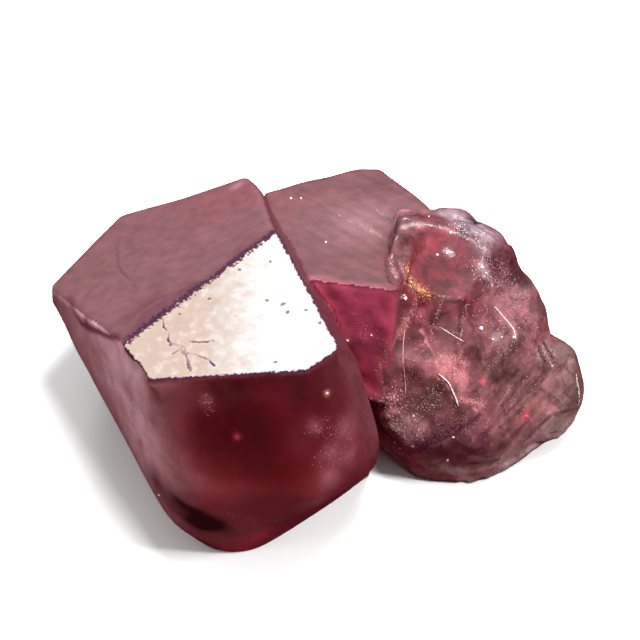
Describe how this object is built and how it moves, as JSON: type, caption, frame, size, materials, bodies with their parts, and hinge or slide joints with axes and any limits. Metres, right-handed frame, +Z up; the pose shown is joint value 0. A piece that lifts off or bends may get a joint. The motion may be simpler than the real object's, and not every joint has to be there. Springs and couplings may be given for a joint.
{
  "type": "sapphire crystal",
  "caption": "Rough red-pink corundum crystal cluster: a large faceted crystal with a mirror-bright top grown into a smaller crystal and a glassy broken lump",
  "frame": {"origin": "middle of the bounding box in plan, on the flat foot at z = 0", "axes": "+X along the longest extent toward the glassy lump, +Y to the back, +Z up"},
  "size_m": [0.0122, 0.0096, 0.0055],
  "materials": {
    "crystal": "natural crystal faces, part mirror-bright, part frosted, with glassy fractures"
  },
  "bodies": {
    "root": {"sapphire_crystal": "crystal"}
  },
  "joints": []
}
